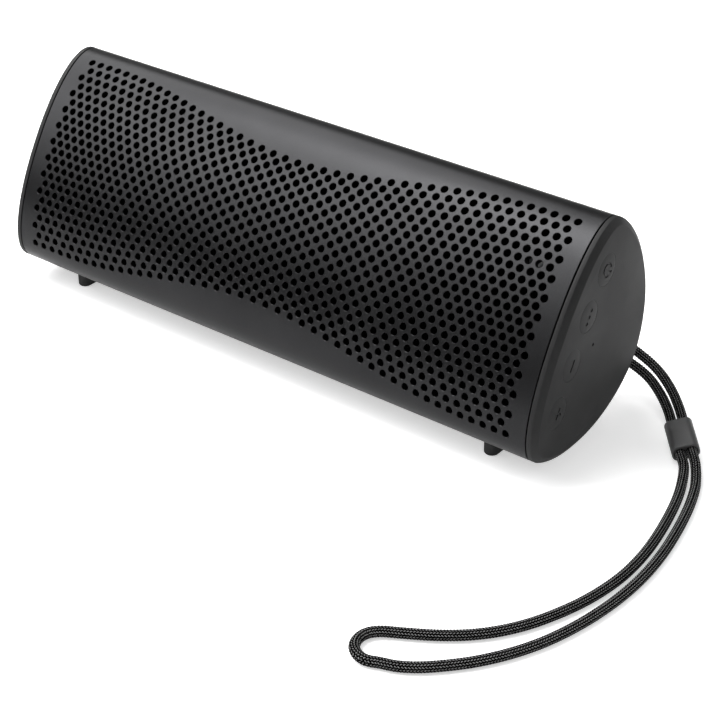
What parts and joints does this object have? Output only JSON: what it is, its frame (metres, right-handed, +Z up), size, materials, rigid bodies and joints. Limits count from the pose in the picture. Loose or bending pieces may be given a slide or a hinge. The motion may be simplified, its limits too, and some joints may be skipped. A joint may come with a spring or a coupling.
{
  "type": "shower speaker",
  "caption": "Leaning black extruded portable speaker with a perforated front, rubber end caps with four side buttons, two foot bars and a looped cord strap with a sliding bead.",
  "frame": {"origin": "on the surface it stands on, under the middle of the body (the strap is left out of the middle)", "axes": "+X along the body towards the end with the buttons, +Y towards the back, +Z up; the perforated front faces -Y and leans back"},
  "size_m": [0.261, 0.1586, 0.073],
  "materials": {
    "anodised_aluminium": "fine bead-blasted black anodising, satin",
    "end_rubber": "soft matt moulded rubber",
    "black_plastic": "moulded black plastic, fine texture",
    "steel": "plated steel",
    "ferrite": "bare grey sintered ferrite",
    "circuit_board": "green solder mask over glass laminate",
    "cone_paper": "coated pressed paper",
    "soft_dome": "doped woven dome",
    "copper_coil": "enamelled copper winding",
    "cell_wrap": "shrink sleeve over a steel can",
    "clear_plastic": "clear moulded light pipe",
    "braid": "tight woven black braid with pale flecks",
    "grille_cloth": "black water-shedding mesh",
    "bead_rubber": "grey satin rubber"
  },
  "bodies": {
    "case": {"amplifier_shield": "steel", "baffle": "black_plastic", "battery_cell_1": "cell_wrap", "battery_cell_2": "cell_wrap", "battery_cradle": "black_plastic", "board_screw_1": "steel", "board_screw_2": "steel", "body_shell": "anodised_aluminium", "button_board": "circuit_board", "capacitor_1": "steel", "capacitor_2": "steel", "driver_frame": "steel", "driver_screw_1": "steel", "driver_screw_2": "steel", "driver_screw_3": "steel", "driver_screw_4": "steel", "driver_surround": "end_rubber", "end_cap_left": "end_rubber", "end_cap_right": "end_rubber", "end_plate_left": "black_plastic", "end_plate_right": "black_plastic", "foot_left": "end_rubber", "foot_right": "end_rubber", "function_switch": "steel", "grille_cloth": "grille_cloth", "main_board": "circuit_board", "motor_magnet": "ferrite", "motor_top_plate": "steel", "motor_yoke": "steel", "plate_screw_left_1": "steel", "plate_screw_left_2": "steel", "plate_screw_left_3": "steel", "plate_screw_left_4": "steel", "plate_screw_right_1": "steel", "plate_screw_right_2": "steel", "plate_screw_right_3": "steel", "plate_screw_right_4": "steel", "power_switch": "steel", "seal_left": "end_rubber", "seal_right": "end_rubber", "status_light_guide": "clear_plastic", "strap_anchor": "black_plastic", "strap_cord": "braid", "tweeter_housing": "black_plastic", "tweeter_magnet": "ferrite", "tweeter_screw_1": "steel", "tweeter_screw_2": "steel", "usb_port": "steel", "usb_tongue": "black_plastic", "volume_down_switch": "steel", "volume_up_switch": "steel"},
    "woofer": {"driver_cone": "cone_paper", "dust_cap": "cone_paper", "voice_coil": "copper_coil"},
    "tweeter": {"tweeter_dome": "soft_dome"},
    "power_key": {"power_button": "end_rubber"},
    "function_key": {"function_button": "end_rubber"},
    "volume_down_key": {"volume_down_button": "end_rubber"},
    "volume_up_key": {"volume_up_button": "end_rubber"},
    "bead": {"cord_bead": "bead_rubber"}
  },
  "joints": [
    {"name": "woofer_stroke", "type": "slide", "parent": "case", "child": "woofer", "axis": [0, -0.859, 0.512], "range_m": [-0.002, 0.002], "stiffness_N_per_m": 1500},
    {"name": "tweeter_stroke", "type": "slide", "parent": "case", "child": "tweeter", "axis": [0, -0.859, 0.512], "range_m": [-0.00015, 0.00015], "stiffness_N_per_m": 4000},
    {"name": "power_press", "type": "slide", "parent": "case", "child": "power_key", "axis": [-1, 0, 0], "range_m": [0, 0.0005], "stiffness_N_per_m": 3000},
    {"name": "function_press", "type": "slide", "parent": "case", "child": "function_key", "axis": [-1, 0, 0], "range_m": [0, 0.0005], "stiffness_N_per_m": 3000},
    {"name": "volume_down_press", "type": "slide", "parent": "case", "child": "volume_down_key", "axis": [-1, 0, 0], "range_m": [0, 0.0005], "stiffness_N_per_m": 3000},
    {"name": "volume_up_press", "type": "slide", "parent": "case", "child": "volume_up_key", "axis": [-1, 0, 0], "range_m": [0, 0.0005], "stiffness_N_per_m": 3000},
    {"name": "bead_slide", "type": "slide", "parent": "case", "child": "bead", "axis": [0.6475, -0.7554, -0.1007], "range_m": [-0.004, 0.0045]}
  ]
}
